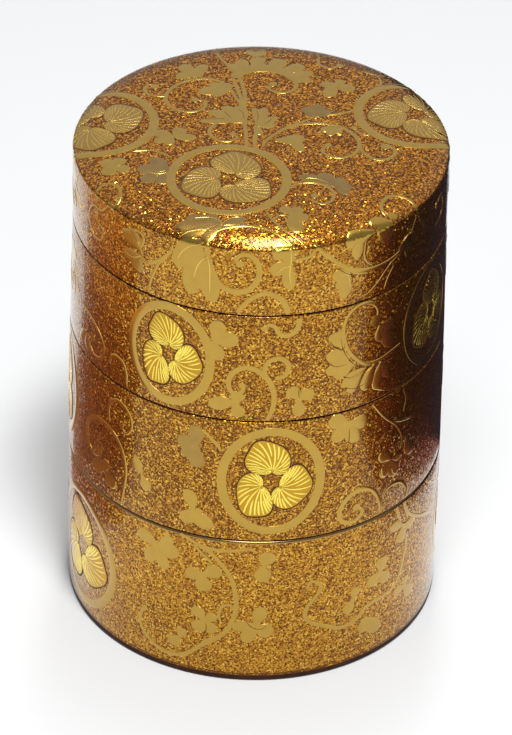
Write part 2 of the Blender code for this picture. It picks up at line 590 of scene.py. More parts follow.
def gold_powder(name, colour, shade, roughness, gloss=0.7):
    """Gold dusted on wet lacquer: a satin surface with a fine grain, a little uneven in colour."""
    material = finish_of(name, Metallic=1.0, Coat_Weight=gloss, Coat_Roughness=0.12)
    tree, shader = material.node_tree, shader_of(material)
    where = step(tree, "TexCoord").outputs["Object"]
    grain = step(tree, "TexNoise", {"Vector": where, "Scale": 9000.0, "Detail": 2.0}).outputs["Fac"]
    clouds = {"Vector": where, "Scale": 420.0, "Detail": 4.0, "Roughness": 0.6}
    cloud = step(tree, "TexNoise", clouds).outputs["Fac"]
    both = step(tree, "Math", {0: grain, 1: cloud}, operation="ADD").outputs[0]
    half = step(tree, "Math", {0: both, 1: 0.5}, operation="MULTIPLY").outputs[0]
    tree.links.new(ramp(tree, half, (0.3, shade), (0.62, colour)), shader.inputs["Base Color"])
    span = {"To Min": roughness - POWDER_SWING, "To Max": roughness + POWDER_SWING}
    rough = step(tree, "MapRange", {"Value": cloud, **span})
    tree.links.new(rough.outputs["Result"], shader.inputs["Roughness"])
    bump = step(tree, "Bump", {"Height": grain, "Strength": 0.07, "Distance": POWDER_DEPTH * MM})
    tree.links.new(bump.outputs["Normal"], shader.inputs["Normal"])
    return material


brown_lacquer = finish_of(
    "brown_lacquer", Base_Color=(0.07, 0.03, 0.008, 1), Roughness=0.5, Specular_IOR_Level=0.1
)
dull_gold = gold_powder("dull_gold", (0.52, 0.315, 0.036), (0.43, 0.25, 0.026), 0.2)
shaded_gold = gold_powder("shaded_gold", (0.46, 0.265, 0.026), (0.39, 0.215, 0.017), 0.22)
bright_gold = gold_powder("bright_gold", (0.6, 0.325, 0.014), (0.46, 0.235, 0.01), 0.22, 0.4)
pale_gold = gold_powder("pale_gold", (1.0, 0.83, 0.13), (0.98, 0.74, 0.09), 0.22, 0.4)
soft_vein_gold = gold_powder("soft_vein_gold", (0.57, 0.35, 0.055), (0.5, 0.3, 0.045), 0.42)

# Each roundel's place, half sizes and turn. Those near the lid's edge run on down its side.
LID_ROUNDELS = (
    ((-5.4, -13), (10.75, 11), 1.1),
    ((-28.6, 4.3), (10.9, 10.9), 0.1),
    ((26.6, 9.4), (10.9, 10.9), 3),
)
UPPER_ROUNDELS = (
    ((-15.4, 67.4), (8.45, 10.4), 1.57),
    ((37.3, 67), (8.8, 10.3), 1.2),
    ((88, 67), (8.8, 10.3), 0.4),
)
MIDDLE_ROUNDELS = (
    ((3.1, 43.7), (9.4, 11.3), 1.57),
    ((-49, 44), (9.35, 11.2), 0.9),
    ((-102, 43.6), (9.35, 11.3), 2.2),
)
LOWER_ROUNDELS = (
    ((-37.2, 14.6), (11.2, 12.2), 1.5),
    ((54, 15.8), (9.6, 11.4), 0.5),
)

for piece, chart, roundels, leaf_gold, ray_gold, ray_lift in (
    ("lid", on_crown, LID_ROUNDELS, shaded_gold, soft_vein_gold, CROWN_RAY_LIFT),
    ("upper_tier", on_wall, UPPER_ROUNDELS, bright_gold, pale_gold, WALL_RAY_LIFT),
    ("middle_tier", on_wall, MIDDLE_ROUNDELS, bright_gold, pale_gold, WALL_RAY_LIFT),
    ("lower_tier", on_wall, LOWER_ROUNDELS, bright_gold, pale_gold, WALL_RAY_LIFT),
):
    parts = [roundel(chart, ray_lift, *placed) for placed in roundels]
    rings, outlines, leaves, rays = ([shell for part in parts for shell in part[k]] for k in range(4))
    raise_gold(piece + "_roundel_rings", rings, dull_gold)
    raise_gold(piece + "_roundel_outlines", outlines, brown_lacquer)
    raise_gold(piece + "_roundel_leaves", leaves, leaf_gold)
    raise_gold(piece + "_roundel_rays", rays, ray_gold)

# ------------------------------------------------------------------------------
# Scrolls. Vines of raised gold wander over the whole box, their ends curling into small buds.
# They are drawn in lacquer with a fine brush and dusted with gold; at a joint each piece of the
# box carries its own length of the vine.

VINE_LIFT = 0.065
VINE_ENDS = 0.8
VINE_SWELL = 0.35
SHORTEST_VINE = 3
BUD_POINTS = 28
BUD_LIFTS = (SUNK, 0.06, 0.09, 0.105, 0.11)
SPAN_POINTS = 24
STEP_ALONG = 0.22
FEWEST_STEPS = 6
JOINT_MARGIN = 0.42
ROUND = math.tau * UNROLL_RADIUS
NO_LIMIT = 99
CROWN_SHIFT = 0.3
CROWN_SPREAD = 0.0006
CROWN_DECIMALS = 1


def smooth(points):
    """An even run of points along a smooth curve through a few."""
    p = np.array(points, float)
    p = np.vstack((2 * p[0] - p[1], p, 2 * p[-1] - p[-2]))
    t = np.linspace(0, 1, SPAN_POINTS, endpoint=False)[:, None]
    spans = [
        0.5 * (2 * b + (c - a) * t + (2 * a - 5 * b + 4 * c - d) * t**2 + (3 * b - a - 3 * c + d) * t**3)
        for a, b, c, d in zip(p, p[1:], p[2:], p[3:])
    ]
    curve = np.vstack(spans + [p[-2:-1]])
    run = run_along(curve)
    even = np.linspace(0, run[-1], max(FEWEST_STEPS, round(run[-1] / STEP_ALONG)))
    return np.stack((np.interp(even, run, curve[:, 0]), np.interp(even, run, curve[:, 1])), -1)


def bud(chart, place, radius):
    return blade(chart, lambda share: np.array(place) + wheel(BUD_POINTS) * radius * share, BUD_LIFTS)


def clear_of(roundels, xy, share):
    """Which points lie outside every roundel, counting right round the wall."""
    clear = np.ones(np.shape(xy)[:-1], bool)
    for place, half_size, _ in roundels:
        off = np.asarray(xy, float) - place
        off[..., 0] = (off[..., 0] + ROUND / 2) % ROUND - ROUND / 2
        clear &= np.linalg.norm(off / (np.array(half_size) - RING_WIDTH / 2), axis=-1) > share
    return clear


def set_forward(points):
    """Points of the crown's drawing, moved to the front: a little in the middle, more at the edge."""
    return [
        (x, round(y - CROWN_SHIFT - CROWN_SPREAD * (x * x + y * y), CROWN_DECIMALS)) for x, y in points
    ]


def vine(chart, points, bud_width, width, roundels, low=-NO_LIMIT, high=NO_LIMIT):
    """A vine through points, left out where it would run past low or high or under a roundel."""
    path = smooth(points)
    half = width / 2 * (VINE_ENDS + VINE_SWELL * np.sin(math.pi * np.linspace(0, 1, len(path))))
    shown = (path[:, 1] > low) & (path[:, 1] < high) & clear_of(roundels, path, 1)
    shells = []
    ends = np.flatnonzero(np.diff(np.concatenate(([0], shown.astype(int), [0]))))
    for first, last in zip(ends[::2], ends[1::2]):
        if last - first > SHORTEST_VINE:
            shells.append(strip(chart, path[first:last], half[first:last], VINE_LIFT))
    if bud_width and shown[-1]:
        shells.append(bud(chart, path[-1], bud_width / 2))
    return shells


# The crown's vines, as seen from above: points, the bud's width and the vine's width.
CROWN_VINES = (
    (((-2.6, -2.2), (-2.7, 1), (-3, 4.5), (-3.4, 8), (-3.2, 11), (-3.1, 14), (-3.6, 17.5),
      (-4.3, 20.5)), 0, 0.75),
    (((-1, -3), (-1.2, -0.5), (-1, 2), (-0.6, 4)), 0, 0.75),
    (((-3.9, 9.5), (-3.8, 13), (-4.5, 16.5), (-5.1, 19), (-5.2, 21.5)), 0, 0.6),
    (((-3.8, 11.4), (-5, 14.2), (-6.2, 17.4), (-8.6, 19.4), (-11.8, 19.4), (-14.9, 17.5), (-16.8, 14.1),
      (-16.4, 10.9), (-14.4, 8.9), (-11.9, 8.6), (-10.1, 9.9), (-10, 12), (-11.7, 12.4)), 1.5, 0.7),
    (((-16.8, 13.6), (-18.6, 13.6), (-20.2, 14.6), (-20.6, 16.4), (-19.5, 17.5),
      (-18.7, 16.5)), 1.3, 0.6),
    (((-4.5, 20), (-3.4, 21.5), (-1, 22.6), (1.5, 22.5), (4.2, 21.2), (5.7, 19), (5.5, 16.9), (4, 15.6),
      (2.2, 15.6), (0.9, 16.9), (1.7, 18.1)), 1.5, 0.7),
    (((-5.4, 22.5), (-6.6, 25), (-7.8, 27.5), (-8.3, 30), (-8.3, 33)), 0, 0.55),
    (((-0.6, 4.6), (-2.2, 5.4), (-4.8, 6), (-7.3, 5.3), (-8.9, 3.2), (-8.7, 0.9), (-7.2, -0.6),
      (-5.4, -0.7), (-4.2, 0.5), (-5, 1.4)), 1.3, 0.65),
    (((0.2, -2.4), (0.6, -0.6), (2.2, 1.8), (4.8, 4.2), (7.8, 5.6), (11, 5.7), (13.9, 4.5), (16.1, 2),
      (16.8, -0.9), (15.9, -3.5), (13.8, -4.9), (11.6, -4.5), (10.3, -2.8), (11.4, -1.2)), 1.3, 0.7),
    (((16.8, -1.2), (17.6, -3.2), (19.4, -4.9), (21.5, -4.7), (22.9, -3), (22.6, -1.2),
      (21.3, -0.9)), 1.9, 0.7),
    (((0.9, -0.4), (3, 2.9), (5.6, 5.2), (8, 6.9), (8.8, 7.8), (8.4, 9.3), (7.4, 9.9)), 0, 0.5),
    (((11.2, 8.5), (13.4, 9.2), (15.9, 10.4)), 0, 0.6),
    (((5.2, -14.3), (6.7, -13.2), (8.8, -12.9), (11, -13.7), (12.4, -15.7), (12.1, -18), (10.5, -19.1),
      (8.9, -18.3), (9.2, -16.9)), 1.5, 0.6),
    (((26.6, -17.6), (25.2, -16.2), (23, -15.5), (21.2, -16.6), (20.4, -18.7), (21, -20.8),
      (22.4, -20.9)), 1.7, 0.65),
    (((-28.5, -16.6), (-27, -14.1), (-24.8, -14), (-23.7, -16), (-23.9, -18.6), (-25.2, -20.4)), 0, 0.6),
    (((9.9, 29.6), (9.6, 27.4), (9.9, 25.6), (11.6, 24.3), (13.4, 25.4)), 1.4, 0.55),
    (((19.6, 17.6), (20.6, 20.5), (20, 22.8), (18.2, 23.6)), 1.1, 0.5),
    (((1.1, -21.8), (2, -24), (3.6, -26.3), (5.6, -28.3), (8.2, -30.6)), 0, 0.55),
    (((-9.2, -31.2), (-8.2, -28.9), (-6.4, -27), (-4, -26.2), (-1.4, -26.1), (1.3, -26.9), (3.6, -28.6),
      (5.5, -30.3), (6.8, -32)), 0, 0.65),
    (((-21.8, -4.2), (-19.3, -3.9), (-17, -4.7), (-15.2, -6.2)), 0, 0.5),
    (((2.4, -24.8), (2.8, -23.3), (3.9, -22.8), (4.9, -23.4), (4.6, -24.5)), 0.9, 0.4),
    (((18.6, 2.4), (17, 3), (15.9, 4.6)), 1.2, 0.5),
)

# The walls' vines, as seen on the unrolled wall. Each piece of the box draws what lies on it.
WALL_VINES = (
    (((-9.2, 92.6), (-8.8, 90), (-8.3, 87), (-7.3, 84.7), (-5.7, 83), (-3.7, 82.5), (-1.7, 83),
      (-0.3, 84.7), (0.2, 86.7), (-0.2, 88.7), (-1.4, 89.9), (-2.9, 90), (-3.7, 89),
      (-3.1, 88.2)), 1.5, 1),
    (((-15, 89.6), (-15.4, 88), (-16.7, 86.3), (-17.8, 84.7), (-18.6, 82.7), (-19.3, 80.7),
      (-19.8, 77.6)), 0, 0.55),
    (((-15.2, 88.4), (-16, 87.3), (-17.3, 85.8), (-19, 84.5), (-20.3, 84.1), (-21.4, 84.8)), 0, 0.55),
    (((-21, 85), (-21.6, 86.1), (-21.2, 87.4), (-20.9, 88.5), (-21.5, 89.3), (-22.5, 89.3), (-23.4, 88.6),
      (-23.7, 87.6), (-23, 86.7), (-22.1, 87)), 0.9, 0.6),
    (((-3.4, 78.4), (-1.7, 80.7), (-0.3, 81.8), (1.2, 82.4), (2.8, 82), (4.2, 80.9), (4.9, 79.4),
      (5.4, 78.2), (7, 77.8), (7.1, 75.8), (6.3, 74.3), (5, 73.8), (3.8, 74.3), (3.1, 75.6), (2.1, 76.1),
      (1.3, 75.4)), 1.2, 0.95),
    (((6, 88.9), (7.2, 89.1), (8.6, 89.3), (10, 90.8)), 0, 0.6),
    (((9.6, 91.6), (11.3, 89.3), (13, 87.7), (14.7, 86.2), (16.7, 84.9), (18.7, 84.2), (20.9, 83.8),
      (23.4, 83.8), (26, 84.3), (28, 85.3), (29.8, 87), (31.2, 89.4)), 0, 0.75),
    (((11.6, 89.6), (13.8, 87), (15.6, 85.3), (17.4, 84), (19.6, 83.3)), 0, 0.5),
    (((19.4, 91.8), (19, 89.4), (18.9, 87.2), (19.5, 85.6), (20.6, 84.6)), 0, 0.55),
    (((18.5, 78.9), (19.9, 79.1), (21.1, 79.9), (22.2, 80.8), (23.4, 82), (24.8, 83.2),
      (26.6, 84.2)), 0, 0.5),
    (((23.4, 78.8), (24.2, 80.6), (25.4, 82.4)), 0, 0.45),
    (((-29, 91.5), (-31.5, 88.8), (-34.5, 88.2), (-36, 85.5), (-34.5, 82.7), (-31.8, 82.6), (-31, 85),
      (-32.7, 86)), 1.3, 0.6),
    (((31, 91.6), (33, 87.6), (36.4, 84.2), (40, 83.6), (42.4, 86), (41, 88.6), (38.8, 87.6)), 1.4, 0.6),
    (((2, 56.4), (2.8, 58.4), (3.2, 60.6), (3, 62.6), (2.4, 64.4), (1.4, 65.8), (0, 66.9), (-1.7, 67.3),
      (-3.3, 66.6), (-4.3, 65.3), (-4.6, 63.7), (-4.1, 62.2), (-2.9, 61.9), (-2.1, 62.8),
      (-2.3, 63.7)), 1.2, 0.95),
    (((1.6, 65.6), (1.5, 67.4), (2.4, 68.8), (3.9, 69.2), (5.2, 68.4), (5.5, 67), (4.9, 65.6),
      (3.7, 65.3)), 0.9, 0.9),
    (((27.6, 65.4), (25.3, 64.9), (22.9, 64.4), (20.5, 64.5), (18.9, 65.4), (17.1, 67.3), (16, 69.3),
      (15.4, 71.6), (15.3, 73.6), (15.9, 75.4), (17.1, 76.7), (18.8, 77.3), (20.5, 76.9), (21.7, 75.8),
      (22.2, 74.3), (21.6, 72.9)), 2.1, 0.75),
    (((-37.5, 66), (-33.5, 65), (-30.4, 62.4), (-30.6, 59.4), (-33.2, 58.4), (-35.1, 60.2),
      (-33.8, 61.6)), 1.3, 0.6),
    (((-28.5, 59.4), (-28, 61.1), (-26.7, 61.8), (-25, 61.2), (-24.2, 59.4), (-24.1, 57.4)), 0, 0.7),
    (((-8.9, 53.6), (-7.6, 52.2), (-6.3, 50.9), (-5.6, 49.6)), 0, 0.6),
    (((24, 30.6), (23.8, 33.5), (22.9, 36), (21.4, 37.7), (19.6, 38.3), (17.8, 38), (16.3, 36.8),
      (15.4, 35.1), (15.6, 33.3), (16.8, 32.2), (18.4, 32), (19.7, 32.9), (19.9, 34.2),
      (18.7, 34.9)), 1.6, 0.85),
    (((24.3, 34.6), (25.3, 35.8), (26.9, 36.1), (28.7, 35.6), (30, 34.3), (30.7, 32.6), (30.3, 30.2),
      (31.4, 27.6), (33.3, 25.6), (35.8, 23.9), (38.3, 22.7), (41.5, 20.8)), 0, 0.75),
    (((28.2, 30.4), (28.6, 28.6), (29.4, 26.6)), 0, 0.6),
    (((21.6, 55.6), (23.3, 53.1), (25, 51), (27.1, 48.9), (28.4, 46.8), (29, 44.8),
      (28.8, 42.8)), 0, 0.65),
    (((25.6, 50.3), (28.2, 49), (31, 48.1)), 0, 0.5),
    (((29, 55.4), (29.9, 53), (29.3, 50.4)), 0, 0.6),
    (((-28.2, 47.4), (-28.5, 49.6), (-27.9, 51.6), (-26.2, 52.8), (-24.2, 52.3), (-22.9, 50.6),
      (-22.8, 48.4), (-24.1, 46.9), (-25.1, 48)), 1.2, 0.65),
    (((-25.2, 30.4), (-24.4, 34.6), (-23.9, 38.5), (-24.3, 41.4), (-25.3, 43.6), (-27, 45.3),
      (-29.2, 46.1), (-31.5, 46), (-33.5, 45), (-35, 43.2), (-35.2, 40.8), (-34.6, 39), (-33.2, 37.9),
      (-31.6, 38.2), (-30.9, 39.6)), 1.5, 0.8),
    (((-12.4, 30.4), (-9.3, 29), (-6.7, 27.3), (-4.6, 24.8), (-3.3, 22.3), (-2.6, 19.3), (-2.4, 16.4),
      (-2.9, 13.5), (-4.2, 10.6), (-6.3, 8.4), (-8.4, 6.9), (-10, 5.2), (-11.7, 4), (-13.6, 3.4),
      (-15.6, 3.5), (-17.6, 4.4), (-19.3, 6), (-20.3, 8.1), (-20, 10.2), (-19.2, 11.5)), 1.1, 0.8),
    (((-11.4, 29.8), (-8.5, 28.8), (-5.8, 28.4), (-3.2, 28.6), (-0.5, 29.2), (1, 28.4)), 0, 0.65),
    (((-10, 28.8), (-8.4, 27), (-6.6, 25.4)), 0, 0.5),
    (((-2.6, 15.4), (-3.6, 16.6), (-4.8, 16.1), (-5.4, 14.5), (-5.1, 13)), 0, 0.55),
    (((-8.4, 7.4), (-6.6, 8.8), (-4.6, 9.7)), 0, 0.5),
    (((9.9, 19.6), (10.3, 20.9), (11.6, 20.8), (12.4, 19.3), (11.3, 17.3), (10, 15.6), (9.6, 13.9),
      (10.5, 12.2), (12.5, 11), (14.2, 10.2), (15.7, 9.4), (17.6, 9.2), (19.6, 9.9), (21.3, 11.4),
      (23.3, 12.1), (25.6, 12.2), (27.7, 12.6), (29.3, 13.9), (30.4, 16.4), (31.2, 19.8),
      (31.4, 23)), 0, 0.8),
    (((-15, 30.4), (-15.1, 28.6), (-15.6, 27)), 0, 0.6),
)

# ------------------------------------------------------------------------------
# Leaves. Lobed leaves and plumes of raised gold grow from the vines. Each lobe is a soft mound of
# lacquer under gold powder. A few leaves are laid in a darker gold as painted shade, a few are
# dusted with greyer, silver-rich gold, and fine raised veins and dark brushed lines mark the lobes
# of the larger ones.

LOBE_STATIONS = 17
LOBE_FULLEST = 0.58
LOBE_STALK = 0.34
LOBE_TIP = 0.998
LOBE_BOW = 0.05
LOBE_STEP = 0.004
TIP_SLOPE = 0.25
TIP_LIFT = 0.15
CREASE_WIDTH = 0.2
CREASE_LIFT = LEAF_LIFT + 0.012
VEIN_WIDTH = 0.34
VEIN_LIFT = LEAF_LIFT + 0.02
LINE_ENDS = 0.04
LINE_FULLNESS = 0.4
PLUME_WIDTH = 1.1
LEAF_CLEARANCE = 1.06
LOWEST_VINE = 1.4

vein_gold = gold_powder("vein_gold", (0.78, 0.51, 0.09), (0.68, 0.43, 0.065), 0.2)
# A darker copy of the dull gold: painted shade on a few leaves that look shaded.
painted_shade_gold = gold_powder("painted_shade_gold", (0.4, 0.24, 0.036), (0.31, 0.17, 0.02), 0.24)
grey_gold = gold_powder("grey_gold", (0.36, 0.21, 0.036), (0.26, 0.14, 0.02), 0.25)


def lobe(chart, base, tip, half_width, lift):
    """One lobe of a leaf: narrow at its base, fullest past its middle and round at its tip."""
    share = 0.5 - 0.5 * np.cos(np.linspace(0, math.pi, LOBE_STATIONS))
    widening = np.clip(share / LOBE_FULLEST, 0, 1)
    rounding = np.clip((share - LOBE_FULLEST) / (1 - LOBE_FULLEST), 0, 1)
    swelling = LOBE_STALK + (1 - LOBE_STALK) * widening**2 * (3 - 2 * widening)
    half = half_width * swelling * np.sqrt(1 - LOBE_TIP * rounding**2)
    along = np.array(tip, float) - base
    bow = np.array((along[1], -along[0])) * LOBE_BOW
    spine = np.array(base) + along * share[:, None] + bow * np.sin(math.pi * share)[:, None]
    sinking = np.clip((1 - share) * math.hypot(*along) / TIP_SLOPE, TIP_LIFT, 1)
    return strip(chart, spine, half, lift * sinking)


def leaves_of(chart, rows):
    """Leaves of (base, lobes). Lobes of (tip x, tip y, half width) are each a little lower than the last."""
    return [
        lobe(chart, base, (x, y), half_width, LEAF_LIFT - LOBE_STEP * i)
        for base, lobes in rows
        for i, (x, y, half_width) in enumerate(lobes)
    ]


def lines_of(chart, rows, width, lift):
    """Fine lines through rows of points, tapered to both ends."""
    lines = []
    for points in rows:
        path = smooth(points)
        taper = np.sin(math.pi * np.linspace(LINE_ENDS, 1 - LINE_ENDS, len(path))) ** LINE_FULLNESS
        lines.append(strip(chart, path, width / 2 * taper, lift))
    return lines


# The crown's leaves, as seen from above: each leaf's base, then its lobes' tips and half widths.
CROWN_LEAVES = (
    ((-12.6, 19.4), ((-15.3, 19.8, 1.3), (-14.3, 24, 1.4), (-10.3, 24, 1.25), (-10.7, 21.2, 1))),
    ((-5.7, 15.4), ((-11.3, 14.4, 1.4), (-9.4, 17.2, 1.2), (-7, 17.7, 1), (-8.8, 13.4, 1.1))),
    ((-3.1, 5), ((-4.5, 10.4, 1.35), (-7, 10.1, 1.35), (-9.4, 8.3, 1.4), (-10.8, 5.1, 1))),
    ((-0.9, 4), ((-1.5, 10, 0.85), (0.3, 10.1, 1), (2.4, 7.2, 1.05), (2.3, 4.5, 0.9), (-0.2, 1.2, 0.85))),
    ((2.3, -0.4), ((7.4, 0.5, 1.6),)),
    ((5.6, 0.3), ((7, -3.8, 1.15),)),
    ((12, 4.5), ((10.4, 2.7, 0.9), (11.9, 1.4, 0.9), (13.7, 2.4, 0.95))),
    ((12.8, 18.3), ((11.3, 13.8, 1.4), (10.1, 17.7, 1.1), (13.7, 20, 1.15), (16, 16.6, 1.4))),
    ((-15.4, 0.1), ((-13.7, 2.9, 1.4), (-11.2, 0, 1.2), (-18.9, 1.2, 1.3), (-18.2, -2.1, 1.1),
      (-15.9, -2.7, 1.1))),
    ((-24.8, -9.5), ((-27.4, -8.2, 1.5), (-23.9, -6.9, 1.3), (-26.3, -12.2, 1.5), (-22.3, -10.8, 1.35))),
    ((5.3, -23.2), ((3.5, -20.9, 1.15), (6.7, -20.8, 1.25), (8.1, -24.4, 1.5), (6.8, -28.2, 1.5))),
    ((22.3, -23.2), ((18.4, -24.4, 1.3), (20.6, -26.4, 1.3))),
    ((19.5, -25.9), ((14.8, -28.6, 1.2), (17.6, -28.9, 1.1))),
    ((-1.5, 26.7), ((-2.8, 29.6, 1.1), (-0.2, 29.9, 1.1))),
    ((-4.6, 20.6), ((-5.9, 24.3, 1.15),)),
    ((-3.9, 21.6), ((-4.1, 26, 1.35),)),
    ((-1.9, 22.4), ((-0.7, 27, 1.65),)),
    ((0.8, 22.6), ((3.3, 26.4, 1.7),)),
    ((3.2, 22), ((7, 24.5, 1.55),)),
    ((4.8, 20.9), ((8.5, 21.8, 1.3),)),
    ((5.9, 19.9), ((8.5, 19.1, 1),)),
)
CROWN_PLUME = (
    (-4.9, 19.4), (-4.2, 21.2), (-2.6, 22.5), (-0.2, 23.2), (2, 22.7), (4, 21.5), (5.6, 19.8),
    (6.4, 18.2),
)
CROWN_GREY_LEAVES = (
    ((10.3, 7.4), ((6.8, 10.2, 1.35), (9, 11.4, 1.35), (11.2, 10, 1.1), (7.4, 8.2, 0.8))),
    ((-15.9, -10.5), ((-18.9, -6.9, 1.5), (-21.1, -10.6, 1.6), (-20, -14.4, 1.5), (-17, -14.9, 1.2))),
    ((12.9, -14.4), ((6.4, -11.4, 1.4), (9.8, -10.4, 1.4), (13.3, -11.4, 1.3), (15.6, -14.2, 1.1),
      (15, -16.6, 0.9))),
    ((-6.5, -26.2), ((-14, -27.2, 1.7), (-12.4, -24.8, 1.4), (-12.9, -29.4, 1.6), (-9.2, -31, 1.2),
      (-9.2, -24, 1.1))),
    ((-6.1, -26.6), ((-2.5, -24.4, 1.2),)),
)
CROWN_VEINS = (
    ((-10.8, -24.1), (-8.4, -23.9), (-6.8, -24.7), (-6.3, -26), (-7.2, -27.6)),
    ((-13.4, -28.4), (-11.6, -27.4), (-9.4, -27.1), (-7.5, -27.4)),
    ((-6.2, -25.6), (-5.2, -24.3), (-3.8, -23.7), (-2.3, -24.2)),
    ((7.8, -11.6), (9.6, -11.8), (11.4, -12.8)),
    ((-19.6, -10.6), (-17.6, -11.2), (-16, -11)),
    ((-17.6, -12.4), (-17.4, -10.8), (-16, -10.2)),
)
CROWN_CREASES = (
    ((-6.6, 8.7), (-5.9, 7.5), (-5.3, 6.5)),
    ((-4.3, 9.8), (-3.4, 8.2), (-3.1, 6.4)),
    ((-9.8, 6.2), (-8.2, 6.3), (-6.4, 6.3)),
    ((-1, 9.4), (-0.7, 7.3), (-0.9, 5.2)),
    ((1.7, 6.9), (1.2, 5.8), (0.5, 5)),
    ((-15.4, 2.8), (-15.5, 1.5), (-15.2, 0.4)),
    ((-2.7, 26.3), (-2.5, 25.5), (-2.2, 24.8)),
    ((0.5, 26.9), (0.4, 26), (0.1, 25.2)),
    ((5, 26), (4.6, 25.2), (3.9, 24.5)),
)

# The walls' leaves, veins and creases, as seen on the unrolled wall.
WALL_LEAVES = (
    ((-10, 91.6), ((-14.4, 85.5, 2.05), (-14.2, 88.4, 1.5), (-11, 88, 1.6))),
    ((-9.6, 89.8), ((-11.6, 80.7, 2), (-9.6, 82, 1.5))),
    ((-8.4, 88.6), ((-7.5, 79.8, 1.8), (-6.7, 82, 1.1))),
    ((5.7, 91.8), ((2.1, 91, 1.3), (2.6, 89.3, 1.2), (5, 88, 1.1))),
    ((5.3, 88.4), ((2.2, 86.3, 1.5), (5.5, 83, 1.25))),
    ((18.6, 92), ((15.6, 89.6, 1.5), (17.6, 86.6, 1.45))),
    ((21.6, 91.2), ((25, 88.4, 1.5),)),
    ((16.1, 84.4), ((12.8, 84.3, 1.3), (13.7, 81.8, 1), (15.2, 79.5, 1.4), (16.2, 82, 0.7))),
    ((29, 87), ((27, 83.6, 1.1), (29.6, 82.2, 1.1), (31.4, 84.6, 0.9))),
    ((-7.4, 72.2), ((-6.6, 76.4, 1.5), (-3.2, 73.4, 1.7), (-5.9, 68.4, 1.35))),
    ((-3.2, 60), ((-7.9, 58.9, 1.5), (-3.2, 62, 1.5), (-2.4, 57.1, 1.3))),
    ((7.5, 60.6), ((5.5, 62.9, 1.35), (9.7, 62.2, 1.45), (7.7, 57, 1.2))),
    ((15.2, 69.6), ((12.7, 72.7, 1.4), (14.3, 73.3, 1.1))),
    ((16.5, 66.9), ((12.1, 68.5, 1.6),)),
    ((17.7, 65.5), ((12.1, 65.2, 1.5), (13.9, 63.5, 1.1))),
    ((19.9, 63.9), ((15.3, 61.5, 1.4), (16.6, 59.7, 1.35))),
    ((21.7, 63.9), ((19.6, 59.2, 1.6),)),
    ((23.2, 63.9), ((22.3, 58.4, 1.4), (24.8, 60.2, 1.3))),
    ((22.6, 71.6), ((26.2, 70.3, 1.4), (26, 66, 1.4), (22.8, 68.2, 1.1))),
    ((-36, 61.5), ((-38.8, 58.4, 1.1), (-35.6, 57.8, 0.9))),
    ((-10.3, 36.2), ((-11.5, 40.3, 1.35), (-11.6, 33, 1.55), (-6.9, 33, 1.65), (-8.6, 36.2, 0.7))),
    ((-20.4, 40.2), ((-22.6, 42.9, 1.45), (-18.7, 37.3, 1.25))),
    ((16.5, 53.4), ((12.9, 54.9, 1.65), (14.1, 50.1, 1.55), (18.8, 49.2, 1.65), (20.7, 52.9, 1.6))),
    ((26.2, 41.8), ((23.2, 43.9, 1.3), (24.2, 38.7, 1.35), (27.7, 37.8, 1.45), (28.9, 41.8, 1.1))),
    ((30.2, 44.6), ((31.8, 40.2, 1.3),)),
    ((-29.3, 36.2), ((-29, 38.7, 1.1), (-33.2, 34.9, 1.4), (-26.3, 34, 1.4))),
    ((-16.8, 26.2), ((-21.1, 27.8, 1.55), (-18.7, 22.1, 1.4), (-15, 21.7, 1.35), (-12.6, 26.2, 1.7),
      (-14, 29, 1.2))),
    ((-8.2, 22.6), ((-11.4, 22, 1.5), (-5.3, 24.6, 1.6), (-7.8, 19, 1.65))),
    ((2, 25.6), ((3.1, 28.5, 1.6), (2.4, 22.1, 1.55))),
    ((-7.9, 12.6), ((-10, 15, 1.3), (-9.4, 9.9, 1.4), (-5.9, 10.2, 1.35), (-5.9, 14.2, 1.1))),
    ((-12.2, 7.6), ((-12.1, 9.8, 1.1), (-14.1, 5.6, 1.35))),
    ((0.9, 12.4), ((1.9, 16.5, 1.35), (4.1, 10.7, 1.65), (-0.6, 8.5, 1.4), (-3, 11.7, 1.3))),
    ((24.6, 18), ((24.9, 21.4, 1.5), (22, 15.9, 1.45), (26.8, 15.4, 1.4))),
    ((21.2, 9.4), ((25.1, 5.4, 1.7), (21.4, 6.2, 1.2))),
    ((18.8, 14.6), ((19.2, 17.2, 1.05), (17.6, 11.8, 1.25))),
    ((30.2, 25.4), ((26.5, 26.7, 1.35), (30, 21.7, 1.4), (33.8, 24.3, 1.3))),
    ((31.4, 11), ((28.3, 10.9, 1.2), (31.6, 13.2, 1.1), (34.2, 8.2, 1.4))),
)
# Leaves laid in the darker gold, as painted shade where they look shaded.
WALL_PAINTED_SHADE_LEAVES = (
    ((-21.4, 85.8), ((-25.6, 88.2, 1.6), (-23.8, 89.4, 1))),
    ((-21.4, 84.6), ((-25.2, 83.2, 1.5), (-22.4, 81.2, 1.4))),
    ((-9.8, 50), ((-10.5, 54, 1.5), (-13.4, 50.1, 1.6), (-12.3, 47.2, 1.2), (-9.7, 45.4, 1.55))),
)
WALL_VEINS = (
    ((-14.1, 87), (-13.2, 88.8), (-11.7, 90.3), (-10, 91)),
    ((-11.1, 84), (-10.5, 86.4), (-9.6, 88), (-8.7, 88.8)),
    ((-8.2, 81.8), (-8.2, 84.4), (-8.3, 86.8), (-8.7, 88.9)),
    ((5.5, 91), (5.5, 88.7), (5.3, 86.1), (5.6, 84.1)),
    ((5.4, 87.8), (4.3, 87.6), (3.2, 86.7)),
    ((14.2, 84.5), (15.6, 84.2), (16.1, 83), (16.2, 81.6)),
    ((-25, 84.2), (-23.4, 83.8), (-21.9, 84.5), (-21.3, 85)),
    ((24, 40.9), (24.2, 39.4), (25.1, 38.7)),
    ((26.4, 39.7), (26.9, 38.5), (27.9, 38.1)),
    ((21.3, 60), (21.5, 59), (22.6, 58.3), (24, 57.5)),
)
